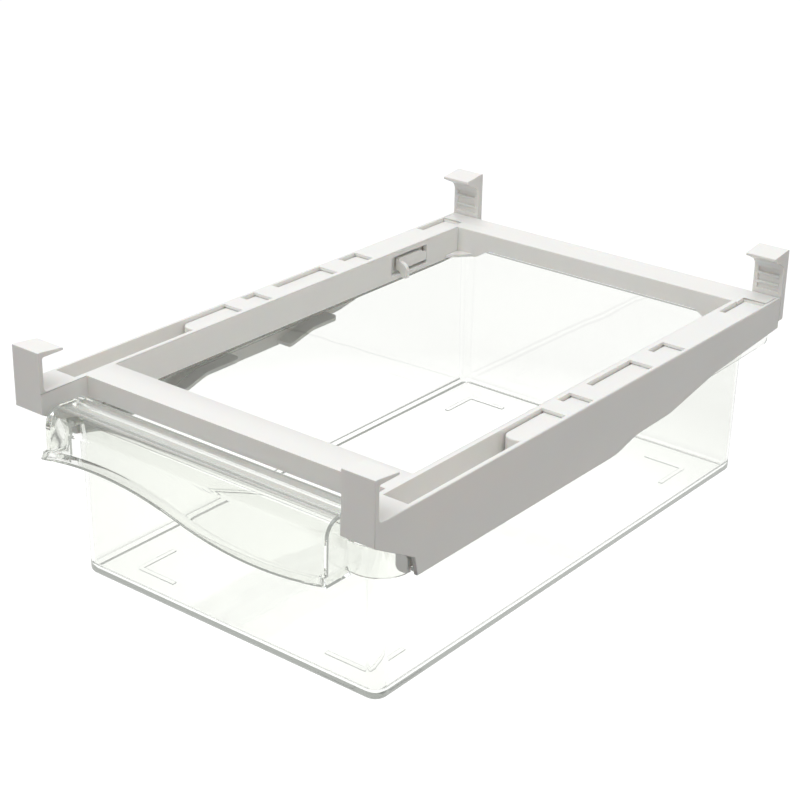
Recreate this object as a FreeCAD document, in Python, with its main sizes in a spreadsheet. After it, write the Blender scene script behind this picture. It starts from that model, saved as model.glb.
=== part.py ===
"""Fridge drawer organizer: a clear drawer that slides in a white frame hung on a shelf.

Millimetres. X is across the drawer, Y runs from the handle to the back, Z is up. The
bodies are drawn with Y = 0 on the front face of the front hooks and Z = 0 on the table,
and every body is then placed so that the origin is the centre of the footprint.
"""
import FreeCAD, Part
import math
import os
import re
import Sketcher

doc = FreeCAD.newDocument("FridgeDrawerOrganizer")

# ---------------------------------------------------------------- driving dimensions
DIMENSIONS = [
    # the frame as a whole
    ("FrameWidth", 205.0, "across the outer faces of the rails"),
    ("FrameLength", 319.0, "front hooks to the rear end of the rails, pushed together"),
    ("RailTop", 97.4, "top of the frame above the table"),
    ("RunClear", 0.3, "running clearance between pieces that slide or flex"),
    ("Skin", 1.6, "thickness of the frame's flat tops"),
    # rails of the front frame
    ("OuterWall", 1.9, "outer wall of a rail"),
    ("OuterDepth", 33.0, "height of the outer wall at the front"),
    ("TroughWidth", 12.5, "clear width of the trough in a rail"),
    ("TroughDepth", 14.1, "rail top down to the trough's floor"),
    ("TroughFloor", 1.8, "thickness of the trough's floor"),
    ("InnerWall", 2.9, "inner wall of a rail"),
    ("NoseDrop", 24.0, "rail top down to the foot of the sloping nose"),
    ("NoseLength", 25.1, "hook face to the foot of the sloping nose"),
    ("NoseStep", 2.0, "run of the short step below the nose"),
    ("SwayFront", 147.0, "start of the outer wall's lower curve, from the rail's end"),
    ("SwayLow", 131.0, "foot of the curve's first rise, from the rail's end"),
    ("SwayHigh", 103.0, "start of the curve's second rise, from the rail's end"),
    ("SwayTop", 62.0, "top of the curve's second rise, from the rail's end"),
    ("SwayRise", 4.1, "first rise of the lower edge"),
    ("SwaySecond", 8.2, "second rise of the lower edge"),
    ("SwayRound", 40.0, "radius of the lower edge's bends"),
    ("TopRound", 0.6, "rounding of the rails' top edges"),
    # front hooks
    ("HookWidth", 16.9, "width of a front hook"),
    ("HookPlate", 2.3, "thickness of a front hook's plate"),
    ("HookDrop", 10.1, "rail top down to the lower end of the hook plate"),
    ("HookRise", 19.0, "rail top up to the hook's front edge"),
    ("ShelfGap", 16.3, "pad to the underside of the hook's flange"),
    ("FlangeReach", 14.4, "reach of the flange from the hook's face"),
    ("FlangeTip", 1.0, "thickness of the flange's tip"),
    ("FlangeDroop", 1.5, "hook's front edge down to the top of the tip"),
    ("HookCove", 2.0, "radius where a front hook rises from its pad"),
    ("PadLength", 22.3, "hook face to the front end of the trough"),
    ("PadRibs", 2.0, "cross ribs below the pad"),
    # bars across the frame
    ("BarStart", 27.0, "hook face to the front crossbar"),
    ("BarWidth", 17.4, "front crossbar, front to rear"),
    ("BarDepth", 9.9, "height of both crossbars"),
    ("BarWall", 2.0, "walls of the crossbars and arms"),
    ("BarRibs", 3.0, "stiffening ribs on each side below a crossbar"),
    ("RearBarWidth", 18.5, "rear crossbar, front to rear"),
    ("CornerDepth", 15.0, "height of the rear crossbar's deep corners"),
    ("CornerReach", 12.0, "length of a deep corner along the bar"),
    ("CornerSlope", 8.5, "run of the slope up from a deep corner"),
    ("CornerRound", 6.0, "radius of a deep corner's bends"),
    ("GussetLength", 11.5, "gusset along the rail"),
    ("GussetWidth", 10.0, "gusset along the crossbar"),
    ("GussetThick", 1.5, "thickness of the gusset"),
    # bridges over the troughs
    ("BridgeOne", 131.0, "start of the first bridge"),
    ("BridgeOneLength", 11.5, "length of the first bridge"),
    ("BridgeTwo", 152.4, "start of the second bridge"),
    ("BridgeTwoLength", 12.9, "length of the second bridge"),
    ("BridgeThree", 117.2, "start of the third bridge, from the rail's end"),
    ("BridgeThreeLength", 14.9, "length of the third bridge"),
    ("BridgeFour", 88.7, "start of the long bridge, from the rail's end"),
    ("BridgeFourLength", 52.7, "length of the long bridge"),
    # drawer guides inside the rails
    ("LedgeReach", 8.4, "reach of a ledge from the outer wall"),
    ("LedgeThick", 1.8, "thickness of a ledge"),
    ("LedgeLift", 1.1, "lower edge of the outer wall up to the front ledge"),
    ("LedgeStep", 3.8, "height of the step that stops the drawer"),
    ("StepStart", 94.4, "hook face to the front ledge's step"),
    ("StepRun", 13.6, "length of the step"),
    ("LedgeEnd", 132.5, "hook face to the front ledge's end"),
    ("RearLedge", 151.0, "start of the rear ledge, from the rail's end"),
    ("RearLedgeLead", 2.0, "flat stretch ahead of the rear ledge's rise"),
    ("RearLedgeRun", 16.0, "length of the rear ledge's rise"),
    ("RearLedgeEnd", 112.5, "end of the rear ledge, from the rail's end"),
    ("LedgeRound", 4.0, "rounding of the ledges' free ends"),
    ("StopHeight", 6.5, "height of the stop at the front end of the front ledge"),
    ("StopWidth", 5.6, "width of the stop"),
    ("StopRound", 2.5, "radius of the stop's lower corner"),
    # spring latches in the inner walls
    ("LatchRoot", 46.5, "root of the latch, from the rail's end"),
    ("LatchLength", 30.0, "length of the latch's window"),
    ("LatchGap", 6.0, "clear space ahead of the free end"),
    ("LatchTop", 2.9, "rail top down to the window"),
    ("LatchSlot", 1.8, "slot above the tongue"),
    ("LatchDepth", 6.6, "height of the tongue"),
    ("LatchUnder", 2.0, "slot below the tongue"),
    ("HeelDrop", 1.7, "extra height of the slot above the tongue's root"),
    ("HeelLength", 2.8, "length of that relief"),
    ("HeelRound", 0.8, "radius of the relief's bends"),
    ("TongueThick", 2.2, "thickness of the tongue"),
    ("FinThick", 2.4, "thickness of the latch's thumb fin"),
    ("FinReach", 5.2, "thumb fin out of the wall"),
    ("FinDrop", 3.5, "tongue's lower edge down to the fin's lower edge"),
    ("FinLow", 1.8, "top of the tongue down to the fin's top"),
    ("FinRound", 4.5, "radius of the fin's upper corner"),
    ("ToothLength", 3.0, "detent tooth along the rail"),
    ("ToothHeight", 4.0, "height of the detent tooth"),
    # arms of the rear frame
    ("ArmLength", 207.0, "length of an arm ahead of its corner block"),
    ("ArmWidth", 11.3, "width of an arm"),
    ("ArmFoot", 2.0, "thickness of the arm's foot flange"),
    ("ArmRound", 5.0, "corner radius of the arm's front end"),
    ("BlockLength", 12.0, "length of a corner block"),
    ("NotchPitch", 10.0, "spacing of the detent notches"),
    ("NotchWidth", 4.0, "width of a detent notch"),
    ("NotchDepth", 0.9, "depth of a detent notch"),
    ("NotchCount", 11.0, "detent notches on an arm"),
    # rear hooks
    ("StrapWidth", 16.3, "width of a rear hook"),
    ("StrapThick", 3.8, "thickness of a rear hook's strap"),
    ("StrapDrop", 12.5, "rail top down to the strap's lower end"),
    ("StrapRise", 24.8, "rail top up to the rear hook's back edge"),
    ("RearReach", 14.0, "reach of the rear flange from the strap's back"),
    ("RearTip", 1.3, "thickness of the rear flange's tip"),
    ("RearDroop", 1.8, "fall of the rear flange's top towards its tip"),
    ("RearRoot", 8.0, "depth of the rear flange at its root"),
    ("RearCove", 5.0, "radius of the cove below the rear flange"),
    ("PanelMargin", 2.2, "side margin of the ribbed panel"),
    ("PanelDepth", 1.0, "depth of the ribbed panel"),
    ("PanelStart", 2.4, "rail top up to the ribbed panel"),
    ("PanelHeight", 14.6, "height of the ribbed panel"),
    ("RibPitch", 4.8, "spacing of the grip ribs"),
    ("RibThick", 1.2, "height of a grip rib"),
    ("RibCount", 3.0, "grip ribs on a rear hook"),
    ("KeyNeck", 4.0, "width of the key's neck"),
    ("KeyHead", 8.0, "width of the key's head"),
    ("KeyNeckDepth", 2.2, "wall that the key's head runs behind"),
    ("KeyHeadDepth", 2.4, "depth of the key's head"),
    ("KeyHeight", 3.7, "height of the key"),
    ("KeyUp", 3.2, "travel of a rear hook above its place at rest"),
    # drawer
    ("FeetHeight", 0.5, "height of the drawer's feet"),
    ("DrawerInset", 15.0, "outer face of the rail to the drawer's side at the bottom"),
    ("DrawerFront", 21.4, "hook face to the drawer's front wall"),
    ("DrawerBack", 5.3, "drawer's rear wall to the rail's rear end"),
    ("DrawerDraft", 1.0, "outward lean of the walls over their height"),
    ("DrawerWall", 2.1, "thickness of the drawer's walls"),
    ("DrawerFloor", 2.2, "thickness of the drawer's floor"),
    ("DrawerCorner", 6.5, "upright corner radius of the drawer"),
    ("FloorRound", 4.0, "radius where the walls meet the floor inside"),
    ("BaseRound", 2.4, "radius round the drawer's base"),
    ("RimThick", 2.0, "thickness of the rim"),
    ("RimSide", 0.8, "rim to the outer wall"),
    ("RimFront", 10.0, "hook face to the rim's front edge"),
    ("RimCorner", 15.0, "plan radius of the rim's front corners"),
    ("SkirtWall", 1.2, "thickness of the skirt below the rim"),
    ("SkirtDrop", 15.4, "rim top down to the skirt's lower edge ahead of the rails"),
    ("SkirtRear", 2.9, "rise of the skirt towards the rear"),
    ("RimBack", 4.7, "rim's rear end to the rail's rear end"),
    ("SkirtRound", 3.0, "radius of the skirt's lower rear corners"),
    ("FootWidth", 2.4, "width of a foot rib"),
    ("FootLeg", 23.5, "length of a foot rib's leg"),
    ("FootRound", 2.0, "radius of a foot rib's corner"),
    ("FootSide", 18.3, "foot corner to the drawer's side"),
    ("FootFront", 16.3, "foot corner to the drawer's front"),
    ("FootRear", 18.7, "foot corner to the drawer's rear"),
    # handle
    ("HandleWidth", 161.2, "width of the hood"),
    ("HandleRise", 11.5, "rim top up to the hood's top"),
    ("HandleLead", 3.0, "hood's front ahead of the hooks"),
    ("HandleBack", 21.0, "hook face to the rear of the hood"),
    ("HandleWall", 2.0, "wall of the hood"),
    ("HandleRound", 8.0, "radius of the hood's front edge"),
    ("WaveDrop", 14.8, "rim top down to the middle of the wavy edge"),
    ("WaveHeight", 6.0, "rise and fall of the wavy edge"),
    ("WaveLength", 89.0, "length of one bow of the wavy edge"),
    ("WaveShift", 2.0, "middle of the wavy edge, left of the drawer's middle"),
    ("LipReach", 1.7, "flare of the lip below the hood"),
    ("LipHeight", 3.4, "height of the lip"),
]

sheet = doc.addObject("Spreadsheet::Sheet", "Dims")
for row, (alias, size, meaning) in enumerate(DIMENSIONS, start=1):
    sheet.set(f"A{row}", alias)
    sheet.set(f"B{row}", str(size))
    sheet.setAlias(f"B{row}", alias)
    sheet.set(f"C{row}", meaning)
doc.recompute()

ALIASES = {alias for alias, size, meaning in DIMENSIONS}


def bound(text):
    """The text as a document expression: every alias is read from the sheet."""
    return re.sub(r"[A-Z]\w+", lambda word: "Dims." + word[0] if word[0] in ALIASES else word[0], str(text))


def value(text):
    """The present number of an expression over the sheet's aliases."""
    return float(sheet.evalExpression(bound(text)))


# ------------------------------------------------------------------ shared places
HALF = "(FrameWidth / 2)"
WALL_IN = f"({HALF} - OuterWall)"
TROUGH_IN = f"({WALL_IN} - TroughWidth)"
RAIL_IN = f"({TROUGH_IN} - InnerWall)"
HOOK_IN = f"({HALF} - HookWidth)"
SKIN_UNDER = "(RailTop - Skin)"
TROUGH_TOP = "(RailTop - TroughDepth)"
TROUGH_UNDER = f"({TROUGH_TOP} - TroughFloor)"
RAIL_FOOT = "(RailTop - OuterDepth)"
NOSE_FOOT = "(RailTop - NoseDrop)"
HOOK_FOOT = "(RailTop - HookDrop)"
BAR_FOOT = "(RailTop - BarDepth)"
REAR_BAR = "(FrameLength - RearBarWidth)"
RAIL_END = f"({REAR_BAR} - RunClear)"
BLOCK_FRONT = "(FrameLength - BlockLength)"
LEDGE_LOW = f"({RAIL_FOOT} + LedgeLift)"
LEDGE_HIGH = f"({LEDGE_LOW} + LedgeStep)"
LEDGE_TIP = f"({WALL_IN} - LedgeReach)"
WINDOW_TOP = "(RailTop - LatchTop)"
WINDOW_REAR = "(FrameLength - LatchRoot)"
WINDOW_FRONT = f"({WINDOW_REAR} - LatchLength)"
TONGUE_TOP = f"({WINDOW_TOP} - LatchSlot)"
TONGUE_FOOT = f"({TONGUE_TOP} - LatchDepth)"
WINDOW_FOOT = f"({TONGUE_FOOT} - LatchUnder)"
TONGUE_TIP = f"({WINDOW_FRONT} + LatchGap)"
ARM_OUT = f"({WALL_IN} - (TroughWidth - ArmWidth) / 2)"
ARM_IN = f"({ARM_OUT} - ArmWidth)"
ARM_TOP = f"({SKIN_UNDER} - RunClear)"
ARM_BASE = f"({TROUGH_TOP} + RunClear)"
ARM_FRONT = f"({BLOCK_FRONT} - ArmLength)"
RIM_TOP = f"({TROUGH_UNDER} - RunClear)"
RIM_UNDER = f"({RIM_TOP} - RimThick)"
RIM_OUT = f"({WALL_IN} - RimSide)"
RIM_REAR = "(FrameLength - RimBack)"
SKIRT_FOOT = f"({RIM_TOP} - SkirtDrop)"
DRAWER_OUT = f"({HALF} - DrawerInset)"
DRAWER_REAR = "(FrameLength - DrawerBack)"
HOOD_OUT = "(HandleWidth / 2)"
HOOD_TOP = f"({RIM_TOP} + HandleRise)"
WAVE_MID = f"({RIM_TOP} - WaveDrop)"
STRAP_FACE = "(FrameLength + RunClear)"
STRAP_MID = f"({HALF} - StrapWidth / 2)"
FOOTPRINT_MID = "((FrameLength + RunClear + StrapThick - HandleLead - LipReach) / 2)"


# ------------------------------------------------------------------- drawing helpers
def new_body(name):
    """A body of the document, placed so that the footprint's centre is the origin."""
    body = doc.addObject("PartDesign::Body", name)
    body.Label = name
    body.setExpression("Placement.Base.y", bound(f"-{FOOTPRINT_MID}"))
    return body


def settle(feature):
    """Recomputes the document and stops where the feature has failed."""
    doc.recompute()
    if {"Invalid", "Error"} & set(feature.State) or feature.Shape.isNull():
        raise RuntimeError(f"{feature.Label} failed: {feature.getStatusString()}")
    return feature


def origin_plane(body, role):
    """One of the body's own origin planes."""
    return [item for item in body.Origin.OriginFeatures if item.Role == role][0]


def draw_loop(drawing, corners):
    """Draws a closed outline of straight sides in a sketch and binds it to the sheet.

    A corner is (across, up) or (across, up, radius); a radius rounds the corner with a
    tangent arc, and the corner itself stays as a construction point.
    """
    points = [FreeCAD.Vector(value(corner[0]), value(corner[1]), 0) for corner in corners]
    count = len(corners)
    leave, reach, arcs = [], [], []
    for index, corner in enumerate(corners):
        here = points[index]
        back = (points[index - 1] - here).normalize()
        ahead = (points[(index + 1) % count] - here).normalize()
        if len(corner) < 3:
            reach.append(here)
            leave.append(here)
            arcs.append(None)
            continue
        radius = value(corner[2])
        half_angle = back.getAngle(ahead) / 2
        tangent = radius / math.tan(half_angle)
        middle = (back + ahead).normalize()
        centre = here + middle * (radius / math.sin(half_angle))
        reach.append(here + back * tangent)
        leave.append(here + ahead * tangent)
        arcs.append(Part.Arc(reach[-1], centre - middle * radius, leave[-1]))
    sides = []
    for index in range(count):
        side = Part.LineSegment(leave[index], reach[(index + 1) % count])
        sides.append(drawing.addGeometry(side, False))
    for index, corner in enumerate(corners):
        before = sides[index - 1]
        after = sides[index]
        if arcs[index] is None:
            drawing.addConstraint(Sketcher.Constraint("Coincident", before, 2, after, 1))
            place, end = after, 1
        else:
            bend = drawing.addGeometry(arcs[index], False)
            near, far = (1, 2) if drawing.getPoint(bend, 1).distanceToPoint(reach[index]) < 1e-6 else (2, 1)
            place, end = drawing.addGeometry(Part.Point(points[index]), True), 1
            drawing.addConstraint(Sketcher.Constraint("PointOnObject", place, 1, before))
            drawing.addConstraint(Sketcher.Constraint("PointOnObject", place, 1, after))
            drawing.addConstraint(Sketcher.Constraint("Tangent", before, 2, bend, near))
            drawing.addConstraint(Sketcher.Constraint("Tangent", bend, far, after, 1))
            size = drawing.addConstraint(Sketcher.Constraint("Radius", bend, value(corner[2])))
            drawing.setExpression(f"Constraints[{size}]", bound(corner[2]))
        for axis, text in (("DistanceX", corner[0]), ("DistanceY", corner[1])):
            size = drawing.addConstraint(Sketcher.Constraint(axis, -1, 1, place, end, value(text)))
            drawing.setExpression(f"Constraints[{size}]", bound(text))


def sketch(body, name, plane, level, loops):
    """A sketch of closed loops on one of the body's planes, moved along the plane's normal."""
    drawing = body.newObject("Sketcher::SketchObject", f"{body.Name}_{name}")
    drawing.AttachmentSupport = [(origin_plane(body, plane), "")]
    drawing.MapMode = "FlatFace"
    drawing.setExpression("AttachmentOffset.Base.z", bound(level))
    for corners in loops:
        draw_loop(drawing, corners)
    return drawing


def pad(body, name, plane, start, end, *loops):
    """Adds the loops as material between two levels along X, Y or Z."""
    level = f"-({end})" if plane == "XZ_Plane" else start
    feature = body.newObject("PartDesign::Pad", f"{body.Name}_{name}")
    feature.Profile = sketch(body, name + "Sketch", plane, level, loops)
    feature.setExpression("Length", bound(f"({end}) - ({start})"))
    return settle(feature)


def pocket(body, name, plane, start, end, *loops):
    """Cuts the loops out of the body between two levels along X, Y or Z."""
    level = f"-({start})" if plane == "XZ_Plane" else end
    before = body.Shape.Volume
    feature = body.newObject("PartDesign::Pocket", f"{body.Name}_{name}")
    feature.Profile = sketch(body, name + "Sketch", plane, level, loops)
    feature.setExpression("Length", bound(f"({end}) - ({start})"))
    settle(feature)
    if body.Shape.Volume > before - 1e-3:
        raise RuntimeError(f"{body.Label}: {name} cuts nothing")
    return feature


def round_edges(body, name, radius, wanted):
    """Rounds every edge of the body for which wanted(centre, direction, length) holds."""
    base = body.Tip
    names = []
    for number, edge in enumerate(base.Shape.Edges, start=1):
        if not isinstance(edge.Curve, Part.Line):
            continue
        span = edge.Vertexes[-1].Point - edge.Vertexes[0].Point
        centre = (edge.Vertexes[-1].Point + edge.Vertexes[0].Point) * 0.5
        if wanted(centre, span.normalize(), edge.Length):
            names.append(f"Edge{number}")
    if not names:
        raise RuntimeError(f"{body.Label}: {name} finds no edge")
    feature = body.newObject("PartDesign::Fillet", f"{body.Name}_{name}")
    feature.Base = (base, names)
    feature.setExpression("Radius", bound(radius))
    return settle(feature)


def along(direction, axis):
    """True where a direction runs along the axis 0, 1 or 2."""
    return abs(direction[axis]) > 0.999


def near(number, text):
    """True where a coordinate lies at an expression's present value."""
    return abs(number - value(text)) < 0.02


def rectangle(left, low, right, high, radius=None):
    """A four-cornered loop, rounded where a radius is given."""
    corners = [(left, low), (right, low), (right, high), (left, high)]
    if radius is None:
        return corners
    return [corner + (radius,) for corner in corners]


def mirror(body):
    """Completes a half body by its mirror image across the plane X = 0."""
    feature = body.newObject("PartDesign::Mirrored", f"{body.Name}_OtherHalf")
    feature.TransformMode = "Whole shape"
    feature.MirrorPlane = (origin_plane(body, "YZ_Plane"), [""])
    body.Tip = feature
    return settle(feature)


def row_of(body, name, feature, plane, spacing, count, backward=False):
    """Repeats a feature along X, Y or Z, towards the lower values where backward is set."""
    pattern = body.newObject("PartDesign::LinearPattern", f"{body.Name}_{name}")
    pattern.Originals = [feature]
    pattern.Direction = (origin_plane(body, plane), [""])
    pattern.Reversed = backward != (plane == "XZ_Plane")
    pattern.setExpression("Length", bound(f"({spacing}) * ({count} - 1)"))
    pattern.setExpression("Occurrences", bound(count))
    body.Tip = pattern
    return settle(pattern)


# ----------------------------------------------------------------------- front frame
def guide_ledge(body, name, start, rise, run, end):
    """A drawer guide: a shelf along the outer wall whose height follows an S-shaped step."""
    top_of_rise = f"({rise} + {run})"
    pad(body, name, "YZ_Plane", LEDGE_TIP, WALL_IN, [
        (start, LEDGE_LOW),
        (rise, LEDGE_LOW, "StepRun"),
        (top_of_rise, LEDGE_HIGH, "StepRun"),
        (end, LEDGE_HIGH),
        (end, f"{LEDGE_HIGH} + LedgeThick"),
        (top_of_rise, f"{LEDGE_HIGH} + LedgeThick", "StepRun"),
        (rise, f"{LEDGE_LOW} + LedgeThick", "StepRun"),
        (start, f"{LEDGE_LOW} + LedgeThick"),
    ])
    round_edges(body, name + "End", "LedgeRound",
                lambda centre, run, length: along(run, 2) and near(centre.x, LEDGE_TIP)
                and near(centre.y, end))


def build_front_frame():
    """Two trough rails with fixed hooks, joined by the front crossbar."""
    body = new_body("front_frame")
    pad(body, "OuterWall", "YZ_Plane", WALL_IN, HALF, [
        ("0", HOOK_FOOT),
        ("NoseLength", NOSE_FOOT),
        ("NoseLength + NoseStep", RAIL_FOOT),
        ("FrameLength - SwayFront", RAIL_FOOT, "SwayRound"),
        ("FrameLength - SwayLow", f"{RAIL_FOOT} + SwayRise", "SwayRound"),
        ("FrameLength - SwayHigh", f"{RAIL_FOOT} + SwayRise + LedgeLift / 2", "SwayRound"),
        ("FrameLength - SwayTop", f"{RAIL_FOOT} + SwayRise + SwaySecond", "SwayRound"),
        ("FrameLength", TROUGH_UNDER),
        ("FrameLength", "RailTop"),
        ("0", "RailTop"),
    ])
    pad(body, "InnerWall", "YZ_Plane", RAIL_IN, TROUGH_IN, [
        ("0", HOOK_FOOT),
        (f"({HOOK_FOOT} - {TROUGH_UNDER}) * NoseLength / (NoseDrop - HookDrop)", TROUGH_UNDER),
        (RAIL_END, TROUGH_UNDER),
        (RAIL_END, "RailTop"),
        ("0", "RailTop"),
    ])
    pad(body, "TroughFloorPlate", "XY_Plane", TROUGH_UNDER, TROUGH_TOP,
        rectangle(TROUGH_IN, "PadLength - BarWall", WALL_IN, "FrameLength"))
    pad(body, "TroughFront", "XY_Plane", TROUGH_UNDER, "RailTop",
        rectangle(TROUGH_IN, "PadLength - BarWall", WALL_IN, "PadLength"))
    pad(body, "Tops", "XY_Plane", SKIN_UNDER, "RailTop",
        rectangle(TROUGH_IN, "0", WALL_IN, "PadLength"),
        rectangle(TROUGH_IN, "BridgeOne", WALL_IN, "BridgeOne + BridgeOneLength"),
        rectangle(TROUGH_IN, "BridgeTwo", WALL_IN, "BridgeTwo + BridgeTwoLength"),
        rectangle(TROUGH_IN, "FrameLength - BridgeThree",
                  WALL_IN, "FrameLength - BridgeThree + BridgeThreeLength"),
        rectangle(TROUGH_IN, "FrameLength - BridgeFour",
                  WALL_IN, "FrameLength - BridgeFour + BridgeFourLength"))
    rib = pad(body, "PadRib", "XZ_Plane", "PadLength / 3 - BarWall / 2", "PadLength / 3 + BarWall / 2",
              rectangle(TROUGH_IN, HOOK_FOOT, WALL_IN, SKIN_UNDER))
    row_of(body, "PadRibRow", rib, "XZ_Plane", "PadLength / 3", "PadRibs")
    pad(body, "Crossbar", "XY_Plane", BAR_FOOT, "RailTop",
        rectangle("0", "BarStart", RAIL_IN, "BarStart + BarWidth"))
    pocket(body, "CrossbarHollow", "XY_Plane", BAR_FOOT, SKIN_UNDER,
           rectangle("0", "BarStart + BarWall", RAIL_IN, "BarStart + BarWidth - BarWall"))
    rib = pad(body, "CrossbarRib", "YZ_Plane", f"{RAIL_IN} / (BarRibs + 1) - BarWall / 2",
              f"{RAIL_IN} / (BarRibs + 1) + BarWall / 2",
              rectangle("BarStart", BAR_FOOT, "BarStart + BarWidth", "RailTop"))
    row_of(body, "CrossbarRibRow", rib, "YZ_Plane", f"{RAIL_IN} / (BarRibs + 1)", "BarRibs")
    round_edges(body, "RailTops", "TopRound",
                lambda centre, run, length: along(run, 1) and near(centre.z, "RailTop")
                and (near(centre.x, HALF) or near(centre.x, RAIL_IN)) and length > value("PadLength"))
    guide_ledge(body, "FrontLedge", "(NoseLength + NoseStep)", "StepStart", "StepRun", "LedgeEnd")
    guide_ledge(body, "RearLedge", "(FrameLength - RearLedge)",
                "(FrameLength - RearLedge + RearLedgeLead)", "RearLedgeRun",
                "(FrameLength - RearLedgeEnd)")
    pad(body, "Stop", "XZ_Plane", "NoseLength + NoseStep / 4", "NoseLength + NoseStep / 4 + BarWall", [
        (LEDGE_TIP, RAIL_FOOT, "StopRound"),
        (f"{LEDGE_TIP} + StopWidth", RAIL_FOOT),
        (f"{LEDGE_TIP} + StopWidth", f"{LEDGE_LOW} + StopHeight", "TopRound"),
        (LEDGE_TIP, f"{LEDGE_LOW} + StopHeight", "TopRound"),
    ])
    pocket(body, "LatchWindow", "YZ_Plane", RAIL_IN, TROUGH_IN,
           rectangle(WINDOW_FRONT, WINDOW_FOOT, WINDOW_REAR, WINDOW_TOP))
    pad(body, "Hook", "YZ_Plane", HOOK_IN, HALF, [
        ("0", HOOK_FOOT),
        ("HookPlate", HOOK_FOOT),
        ("HookPlate", SKIN_UNDER),
        ("HookPlate + 2 * HookCove", SKIN_UNDER),
        ("HookPlate + 2 * HookCove", "RailTop"),
        ("HookPlate", "RailTop", "HookCove"),
        ("HookPlate", "RailTop + ShelfGap", "HookCove / 2"),
        ("FlangeReach", "RailTop + ShelfGap"),
        ("FlangeReach", "RailTop + HookRise - FlangeDroop"),
        ("HookPlate", "RailTop + HookRise"),
        ("0", "RailTop + HookRise"),
    ])
    mirror(body)
    return body


# ------------------------------------------------------------------------ rear frame
def build_rear_frame():
    """The rear crossbar with two arms that slide in the troughs of the front frame."""
    body = new_body("rear_frame")
    foot_in, foot_out = f"({TROUGH_IN} + RunClear)", f"({WALL_IN} - RunClear)"
    foot_top = f"({ARM_BASE} + ArmFoot)"
    pad(body, "Arm", "XZ_Plane", ARM_FRONT, BLOCK_FRONT, [
        (foot_in, ARM_BASE),
        (foot_out, ARM_BASE),
        (foot_out, foot_top),
        (ARM_OUT, foot_top),
        (ARM_OUT, ARM_TOP),
        (ARM_IN, ARM_TOP),
        (ARM_IN, foot_top),
        (foot_in, foot_top),
    ])
    round_edges(body, "ArmNose", "ArmRound",
                lambda centre, run, length: along(run, 2) and near(centre.y, ARM_FRONT)
                and centre.z > value(foot_top))
    round_edges(body, "ArmNoseTop", "TopRound",
                lambda centre, run, length: near(centre.z, ARM_TOP) and near(centre.y, ARM_FRONT))
    pocket(body, "ArmHollow", "XY_Plane", ARM_BASE, f"{ARM_TOP} - BarWall",
           rectangle(f"{ARM_IN} + BarWall", f"{ARM_FRONT} + BarWall + ArmRound",
                     f"{ARM_OUT} - BarWall", f"{BLOCK_FRONT} - BarWall"))
    tooth_mid = f"({TONGUE_TIP} + FinThick + ToothLength / 2)"
    notch = pocket(body, "Notch", "XY_Plane", foot_top, f"{ARM_TOP} - BarWall", [
        (ARM_IN, f"{tooth_mid} - NotchWidth / 2"),
        (f"{ARM_IN} + NotchDepth", f"{tooth_mid} - NotchWidth / 2 + NotchDepth"),
        (f"{ARM_IN} + NotchDepth", f"{tooth_mid} + NotchWidth / 2 - NotchDepth"),
        (ARM_IN, f"{tooth_mid} + NotchWidth / 2"),
    ])
    row_of(body, "NotchRow", notch, "XZ_Plane", "NotchPitch", "NotchCount", backward=True)
    pad(body, "CornerBlock", "XY_Plane", ARM_BASE, "RailTop",
        rectangle(TROUGH_IN, BLOCK_FRONT, foot_out, "FrameLength"))
    pad(body, "Crossbar", "XY_Plane", BAR_FOOT, "RailTop",
        rectangle("0", REAR_BAR, TROUGH_IN, "FrameLength"))
    pad(body, "DeepCorner", "XZ_Plane", REAR_BAR, f"{REAR_BAR} + BarWall", [
        (f"{RAIL_IN} - CornerReach - CornerSlope", BAR_FOOT),
        (f"{RAIL_IN} - CornerReach", "RailTop - CornerDepth", "CornerRound"),
        (f"{TROUGH_IN} - RunClear", "RailTop - CornerDepth"),
        (f"{TROUGH_IN} - RunClear", SKIN_UNDER),
        (f"{RAIL_IN} - CornerReach - CornerSlope", SKIN_UNDER),
    ])
    pad(body, "Gusset", "XY_Plane", "RailTop - CornerDepth", "RailTop - CornerDepth + GussetThick", [
        (f"{RAIL_IN} - RunClear", f"{REAR_BAR} - GussetLength"),
        (f"{RAIL_IN} - RunClear", f"{REAR_BAR} + BarWall"),
        (f"{RAIL_IN} - GussetWidth", f"{REAR_BAR} + BarWall"),
        (f"{RAIL_IN} - GussetWidth", REAR_BAR),
    ])
    pocket(body, "CrossbarHollow", "XY_Plane", BAR_FOOT, SKIN_UNDER,
           rectangle("0", f"{REAR_BAR} + BarWall", f"{TROUGH_IN} - BarWall", "FrameLength - BarWall"))
    rib = pad(body, "CrossbarRib", "YZ_Plane", f"{RAIL_IN} / (BarRibs + 1) - BarWall / 2",
              f"{RAIL_IN} / (BarRibs + 1) + BarWall / 2",
              rectangle(REAR_BAR, BAR_FOOT, "FrameLength", "RailTop"))
    row_of(body, "CrossbarRibRow", rib, "YZ_Plane", f"{RAIL_IN} / (BarRibs + 1)", "BarRibs")
    head = "(FrameLength - KeyNeckDepth - KeyHeadDepth - 2 * RunClear)"
    pocket(body, "KeySlotHead", "XY_Plane", ARM_BASE, SKIN_UNDER,
           rectangle(f"{STRAP_MID} - KeyHead / 2 - RunClear", head,
                     f"{STRAP_MID} + KeyHead / 2 + RunClear", "FrameLength - KeyNeckDepth"))
    pocket(body, "KeySlotNeck", "XY_Plane", ARM_BASE, SKIN_UNDER,
           rectangle(f"{STRAP_MID} - KeyNeck / 2 - RunClear", "FrameLength - KeyNeckDepth",
                     f"{STRAP_MID} + KeyNeck / 2 + RunClear", "FrameLength"))
    round_edges(body, "BarTop", "TopRound",
                lambda centre, run, length: along(run, 0) and near(centre.z, "RailTop"))
    mirror(body)
    return body


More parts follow.
